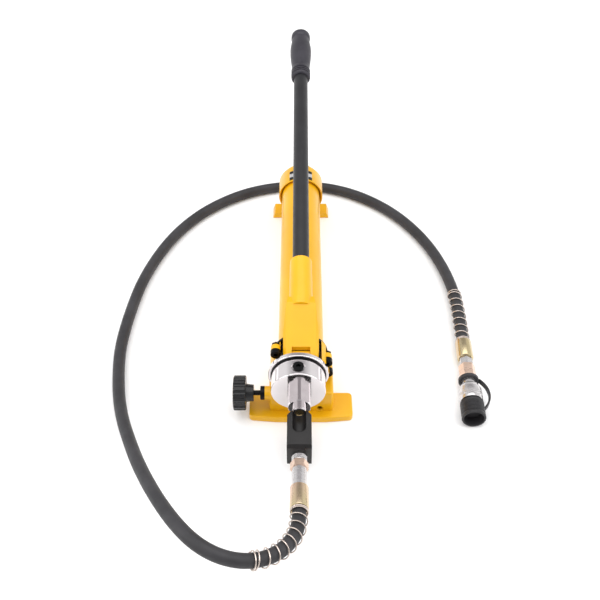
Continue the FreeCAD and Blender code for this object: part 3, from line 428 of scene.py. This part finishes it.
def softened(node, width, segments=2, limit=40.0):
    """A copy of a CAD node with merged points and rounded edges."""
    clear_selection()
    source = NODES[node]
    piece = bpy.data.objects.new(node + "_soft", source.data.copy())
    bpy.context.scene.collection.objects.link(piece)
    activate(piece)
    bpy.ops.object.mode_set(mode="EDIT")
    bpy.ops.mesh.select_all(action="SELECT")
    bpy.ops.mesh.remove_doubles(threshold=0.000005)
    bpy.ops.mesh.dissolve_limited(angle_limit=math.radians(0.6))
    bpy.ops.object.mode_set(mode="OBJECT")
    bevel = piece.modifiers.new("Edges", "BEVEL")
    bevel.width = width
    bevel.segments = segments
    bevel.limit_method = "ANGLE"
    bevel.angle_limit = math.radians(limit)
    bevel.use_clamp_overlap = True
    bevel.harden_normals = False
    bpy.ops.object.modifier_apply(modifier=bevel.name)
    bpy.ops.object.shade_smooth_by_angle(angle=math.radians(35.0))
    level = piece.modifiers.new("Flat faces", "WEIGHTED_NORMAL")
    level.keep_sharp = True
    bpy.ops.object.modifier_apply(modifier=level.name)
    return piece


def dress(piece, finish):
    piece.data.materials.clear()
    piece.data.materials.append(FINISHES[finish])


def body_of_node(node):
    for body, nodes in frame["record"]["behaviour"]["bodies"].items():
        if node in nodes:
            return body
    raise RuntimeError("no body holds " + node)


def stand_for(piece, finish, node):
    """Finish a new piece, and let it take a CAD node's place and body."""
    dress(piece, finish)
    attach(piece, body_of_node(node))
    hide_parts(node)
    return piece


# ---- the hose and its guards ---------------------------------------------------------------
def route_curve(name):
    curve = bpy.data.curves.new(name, "CURVE")
    curve.dimensions = "3D"
    spline = curve.splines.new("NURBS")
    spline.points.add(len(ROUTE) - 1)
    for point, place in zip(spline.points, ROUTE):
        point.co = (*place, 1.0)
    spline.order_u = 3
    spline.use_endpoint_u = True
    spline.resolution_u = 12
    piece = bpy.data.objects.new(name, curve)
    bpy.context.scene.collection.objects.link(piece)
    return piece


def route_line():
    """Points of the route's own smooth line, in order."""
    guide = route_curve("route_guide")
    bpy.context.view_layer.update()
    mesh = bpy.data.meshes.new_from_object(guide)
    line = [vertex.co.copy() for vertex in mesh.vertices]
    bpy.data.objects.remove(guide)
    bpy.data.meshes.remove(mesh)
    return line


def wire_guard(name, line, guard_length, turns, radius, wire):
    """Spring wire wound round the start of a line, with closed end turns."""
    reach = [0.0]
    for a, b in zip(line, line[1:]):
        reach.append(reach[-1] + (b - a).length)

    def at(distance):
        i = 0
        while i < len(reach) - 2 and reach[i + 1] < distance:
            i += 1
        part = (distance - reach[i]) / (reach[i + 1] - reach[i])
        place = line[i].lerp(line[i + 1], part)
        before = (line[i] - line[max(i - 1, 0)]) if i else (line[1] - line[0])
        after = line[i + 1] - line[i]
        return place, before.normalized().lerp(after.normalized(), part).normalized()

    count = int(turns * GUARD_STEPS)
    closed_pitch = wire * CLOSED_PITCH
    rest = guard_length - 2 * CLOSED_TURNS * closed_pitch - wire
    points = []
    for k in range(count + 1):
        turn = k / GUARD_STEPS
        inner = min(max((turn - CLOSED_TURNS) / (turns - 2 * CLOSED_TURNS), 0.0), 1.0)
        edge = min(turn, CLOSED_TURNS) + max(turn - (turns - CLOSED_TURNS), 0.0)
        distance = wire / 2 + inner * rest + edge * closed_pitch
        place, ahead = at(distance)
        side = ahead.cross(Vector((0, 0, 1))).normalized()
        up = side.cross(ahead)
        angle = 2 * math.pi * turn
        points.append(place + (side * math.cos(angle) + up * math.sin(angle)) * radius)
    curve = bpy.data.curves.new(name, "CURVE")
    curve.dimensions = "3D"
    spline = curve.splines.new("POLY")
    spline.points.add(len(points) - 1)
    for point, place in zip(spline.points, points):
        point.co = (*place, 1.0)
    curve.bevel_depth = wire / 2
    curve.bevel_resolution = 3
    curve.use_fill_caps = True
    piece = bpy.data.objects.new(name, curve)
    bpy.context.scene.collection.objects.link(piece)
    activate(piece)
    bpy.ops.object.convert(target="MESH")
    piece = bpy.context.object
    bpy.ops.object.shade_smooth_by_angle(angle=math.radians(50.0))
    return piece


class PUMP_OT_hose(bpy.types.Operator):
    """Rubber hose from the outlet block round the tank to the coupler"""
    bl_idname = "pump.hose"
    bl_label = "Hose"

    def execute(self, context):
        sizes = context.scene.pump_sizes
        hose = route_curve("rubber_hose")
        hose.data.bevel_depth = sizes.hose_diameter / 2
        hose.data.bevel_resolution = 10
        hose.data.use_fill_caps = True
        stand_for(hose, "hose", "hose")
        return {"FINISHED"}


class PUMP_OT_cord(bpy.types.Operator):
    bl_idname = "pump.cord"
    bl_label = "Declare hose"

    def execute(self, context):
        return {"FINISHED"}


class PUMP_OT_guards(bpy.types.Operator):
    """Wire spring guards over both ends of the hose"""
    bl_idname = "pump.guards"
    bl_label = "Spring guards"

    def execute(self, context):
        sizes = context.scene.pump_sizes
        line = route_line()
        front = wire_guard("front_guard_wire", line, sizes.front_guard_length,
                           sizes.front_guard_turns, sizes.front_guard_radius,
                           sizes.guard_wire)
        stand_for(front, "wire", "front_spring_guard")
        far = wire_guard("far_guard_wire", list(reversed(line)), sizes.far_guard_length,
                         sizes.far_guard_turns, sizes.far_guard_radius,
                         sizes.guard_wire)
        stand_for(far, "wire", "far_spring_guard")
        return {"FINISHED"}


# ---- castings and machined pieces ----------------------------------------------------------
class PUMP_OT_castings(bpy.types.Operator):
    """Castings with their softened edges"""
    bl_idname = "pump.castings"
    bl_label = "Castings"

    def execute(self, context):
        edge = context.scene.pump_sizes.cast_edge
        for node, finish, width in (
                ("base_casting", "cast_enamel", edge), ("rear_cap", "cast_enamel", edge),
                ("lever_yoke", "cast_enamel", edge), ("outlet_block", "block", edge / 2),
                ("release_knob", "knob", edge / 2)):
            stand_for(softened(node, width), finish, node)
        return {"FINISHED"}


class PUMP_OT_grip(bpy.types.Operator):
    """Moulded hand grip with a ribbed collar and an end flange"""
    bl_idname = "pump.grip"
    bl_label = "Hand grip"

    def execute(self, context):
        profile = [(0.0, 13.55), (0.0, 15.2), (0.8, 17.0), (2.4, 18.3)]
        for rib in range(3):
            start = 6.0 + rib * 5.2
            profile += [(start, 18.6), (start + 0.4, 17.2), (start + 1.8, 17.2),
                        (start + 2.2, 18.7)]
        profile += [(22.5, 18.8), (24.5, 18.2), (27.0, 17.6), (31.0, 17.4), (38.0, 17.9),
                    (48.0, 19.0), (60.0, 20.1), (73.0, 20.8), (86.0, 21.0), (97.0, 20.4),
                    (107.0, 19.1), (115.0, 17.9), (120.0, 17.6), (122.5, 18.0), (124.0, 18.9),
                    (125.0, 19.1), (132.0, 19.1), (134.6, 18.6), (135.8, 17.6), (136.0, 16.2),
                    (135.2, 15.3), (126.0, 13.6), (126.0, 1.0), (124.0, 1.0), (124.0, 13.55)]
        grip = turned("moulded_grip", profile, 72, hollow=True)
        base = SOCKET_MOUTH + handle_axis() * (HANDLE_LEN - GRIP_LEN)
        settle(grip, lay_along(base, handle_axis()))
        stand_for(grip, "grip", "handle_grip")
        return {"FINISHED"}


def knurl(piece, low, high, radius, height):
    """Raise a small pad on every face of a band of the turned piece."""
    def band(centre, normal):
        outward = abs(normal.z) < 0.3 and normal.x * centre.x + normal.y * centre.y > 0
        return outward and low * MM < centre.z < high * MM and centre.xy.length > radius * MM
    pick_faces(piece, band)
    bpy.ops.mesh.inset(thickness=0.00022, depth=height, use_individual=True)
    leave_edit(piece)


class PUMP_OT_coupler(bpy.types.Operator):
    """Quick coupler's sleeve, dust cap and strap"""
    bl_idname = "pump.coupler"
    bl_label = "Coupler"

    def execute(self, context):
        place = lay_along(FAR_ORIGIN, far_axis())
        outer = [(100.0, 14.1), (100.0, 14.6), (101.0, 15.2), (104.0, 16.2), (107.0, 17.5),
                 (109.0, 18.4), (116.6, 18.5), (117.1, 17.8), (119.1, 17.8), (119.6, 18.5),
                 (125.4, 18.5), (125.8, 18.1), (126.6, 18.1), (127.0, 18.5), (131.6, 18.5),
                 (132.6, 18.2), (133.0, 17.4), (133.0, 14.1)]
        sleeve = turned("coupler_sleeve_turned", outer, 72, hollow=True)
        knurl(sleeve, 119.7, 125.3, 18.2, 0.00015)
        settle(sleeve, place)
        stand_for(sleeve, "zinc", "coupler_sleeve")
        cap_profile = [(135.0, 14.4), (135.0, 18.2), (135.7, 18.9), (138.5, 19.2), (139.5, 18.7),
                       (146.0, 18.7), (153.0, 18.7), (160.5, 18.6), (161.5, 19.1), (165.0, 19.2),
                       (166.5, 18.7), (167.0, 17.6), (166.4, 16.0), (153.0, 13.5), (153.0, 1.0),
                       (149.0, 1.0), (149.0, 14.4)]
        cap = turned("dust_cap_moulded", cap_profile, 60, hollow=True)
        knurl(cap, 139.7, 160.3, 18.2, 0.0004)
        settle(cap, place)
        stand_for(cap, "strap", "dust_cap")
        stand_for(softened("cap_strap", 0.0008), "strap", "cap_strap")
        return {"FINISHED"}


class PUMP_OT_fittings(bpy.types.Operator):
    """Threaded stem and crimped ferrules"""
    bl_idname = "pump.fittings"
    bl_label = "Hose fittings"

    def execute(self, context):
        front = lay_along(FRONT_ORIGIN, front_axis())
        far = lay_along(FAR_ORIGIN, far_axis())
        stem = [(0.0, 9.4)]
        for thread in range(THREADS):
            start = 0.6 + thread * THREAD_PITCH
            stem += [(start, 10.0), (start + 0.75, 10.9), (start + 1.05, 10.9)]
        stem += [(26.4, 10.0), (27.0, 10.0)]
        piece = turned("threaded_stem", stem, 64, sharp=25.0)
        settle(piece, front)
        stand_for(piece, "zinc", "hose_stem")
        for name, node, start, place, size in (
                ("front_ferrule_crimped", "front_ferrule", FRONT_FERRULE_START, front,
                 FRONT_FERRULE_LEN),
                ("far_ferrule_crimped", "far_ferrule", 0.0, far, FAR_FERRULE_LEN)):
            far_end = node == "far_ferrule"
            ferrule = [(start, 11.4), (start + 1.6, 13.1), (start + 3.0, 13.5)]
            ferrule += [(start + size - 2.5, 13.6), (start + size - 0.6, 13.4),
                        (start + size, 12.8)]
            if far_end:
                ferrule = [(2 * start + size - height, radius) for height, radius in ferrule]
                ferrule.reverse()
            piece = turned(name, ferrule, 72, sharp=25.0)
            settle(piece, place)
            stand_for(piece, "ferrule", node)
        return {"FINISHED"}


class PUMP_OT_finishes(bpy.types.Operator):
    """Paint, plating and moulded finishes on the pieces that keep their CAD shape"""
    bl_idname = "pump.finishes"
    bl_label = "Finishes"

    def execute(self, context):
        for finish, nodes in NODE_FINISH.items():
            for node in nodes:
                piece = NODES[node]
                for place in piece.material_slots:
                    place.material = FINISHES[finish]
        return {"FINISHED"}


# ---- stage ---------------------------------------------------------------------------------
def soft_light(name, place, size, power, aim):
    bpy.ops.object.light_add(type="AREA", location=place)
    light = bpy.context.object
    light.name = name
    light.data.shape = "RECTANGLE"
    light.data.size, light.data.size_y = size
    light.data.energy = power
    direction = Vector(aim) - Vector(place)
    light.rotation_euler = direction.to_track_quat("-Z", "Y").to_euler()
    return light


def studio_world():
    """White studio with a greyer ceiling towards the back."""
    world = bpy.data.worlds.new("Studio")
    bpy.context.scene.world = world
    world.use_nodes = True
    nodes, links = world.node_tree.nodes, world.node_tree.links
    coord = nodes.new("ShaderNodeTexCoord")
    split = nodes.new("ShaderNodeSeparateXYZ")
    links.new(coord.outputs["Generated"], split.inputs["Vector"])
    side = nodes.new("ShaderNodeMath")
    side.operation = "ABSOLUTE"
    links.new(split.outputs["X"], side.inputs[0])
    ramp = nodes.new("ShaderNodeValToRGB")
    stops = ramp.color_ramp.elements
    stops[0].position, stops[0].color = 0.0, (0.42, 0.41, 0.42, 1.0)
    stops[1].position, stops[1].color = 0.62, (1.0, 1.0, 1.0, 1.0)
    middle = stops.new(0.30)
    middle.color = (0.50, 0.49, 0.50, 1.0)
    links.new(side.outputs[0], ramp.inputs["Fac"])
    height = nodes.new("ShaderNodeMapRange")
    height.inputs["From Min"].default_value = 0.05
    height.inputs["From Max"].default_value = 0.45
    links.new(split.outputs["Z"], height.inputs["Value"])
    mix = nodes.new("ShaderNodeMix")
    mix.data_type = "RGBA"
    mix.inputs["A"].default_value = (1.0, 1.0, 1.0, 1.0)
    links.new(height.outputs["Result"], mix.inputs["Factor"])
    links.new(ramp.outputs["Color"], mix.inputs["B"])
    links.new(mix.outputs["Result"], nodes["Background"].inputs["Color"])
    nodes["Background"].inputs["Strength"].default_value = 0.95


class PUMP_OT_stage(bpy.types.Operator):
    """Camera, pale floor and soft studio light"""
    bl_idname = "pump.stage"
    bl_label = "Stage"

    def execute(self, context):
        clear_selection()
        bpy.ops.object.camera_add(location=CAMERA_PLACE,
                                  rotation=(math.radians(90.0) - CAMERA_DIP, 0.0, 0.0))
        camera = bpy.context.object
        camera.data.lens = CAMERA_LENS
        camera.data.sensor_width = 36.0
        camera.data.clip_start = 0.01
        context.scene.camera = camera
        bpy.ops.mesh.primitive_plane_add(size=14.0, location=(0.0, 1.0, -FLOOR_DROP))
        floor = bpy.context.object
        floor.name = "studio_floor"
        paint = Finish("Studio floor")
        paint.colours(paint.grain(3.0), (0.93, 0.93, 0.93), (0.95, 0.95, 0.95))
        paint.gloss(paint.grain(5.0), 0.75, 0.85)
        floor.data.materials.append(paint.material)
        soft_light("overhead_light", (0.0, 0.3, 2.6), (3.2, 3.2), 62.0, (0.0, 0.2, 0.0))
        soft_light("left_light", (-2.2, -0.6, 1.5), (1.6, 1.6), 22.0, (0.0, 0.1, 0.1))
        soft_light("right_light", (2.2, -0.4, 1.6), (1.6, 1.6), 18.0, (0.0, 0.1, 0.1))
        studio_world()
        context.scene.view_settings.view_transform = "Standard"
        return {"FINISHED"}


class PUMP_PT_panel(bpy.types.Panel):
    """Sizes, colours and steps of the pump"""
    bl_idname = "PUMP_PT_panel"
    bl_label = "Hydraulic hand pump"
    bl_space_type = "VIEW_3D"
    bl_region_type = "UI"
    bl_category = "Pump"

    def draw(self, context):
        for group in (context.scene.pump_sizes, context.scene.pump_colours):
            for name in group.__annotations__:
                self.layout.prop(group, name)
        for step in STEPS:
            self.layout.operator(step.bl_idname)


STEPS = (PUMP_OT_stage, PUMP_OT_hose, PUMP_OT_guards, PUMP_OT_castings, PUMP_OT_grip,
         PUMP_OT_coupler, PUMP_OT_fittings, PUMP_OT_cord, PUMP_OT_finishes)
CLASSES = (PumpSizes, PumpColours) + STEPS + (PUMP_PT_panel,)


def register():
    for item in CLASSES:
        bpy.utils.register_class(item)
    bpy.types.Scene.pump_sizes = bpy.props.PointerProperty(type=PumpSizes)
    bpy.types.Scene.pump_colours = bpy.props.PointerProperty(type=PumpColours)


def unregister():
    del bpy.types.Scene.pump_sizes
    del bpy.types.Scene.pump_colours
    for item in reversed(CLASSES):
        bpy.utils.unregister_class(item)


def main():
    register()
    FINISHES.update(make_finishes(bpy.context.scene.pump_colours))
    bpy.ops.pump.stage()
    bpy.ops.pump.hose()
    bpy.ops.pump.guards()
    bpy.ops.pump.castings()
    bpy.ops.pump.grip()
    bpy.ops.pump.coupler()
    bpy.ops.pump.fittings()
    bpy.ops.pump.cord()
    bpy.ops.pump.finishes()
    clear_selection()
    bpy.context.view_layer.update()


if __name__ == "__main__":
    main()
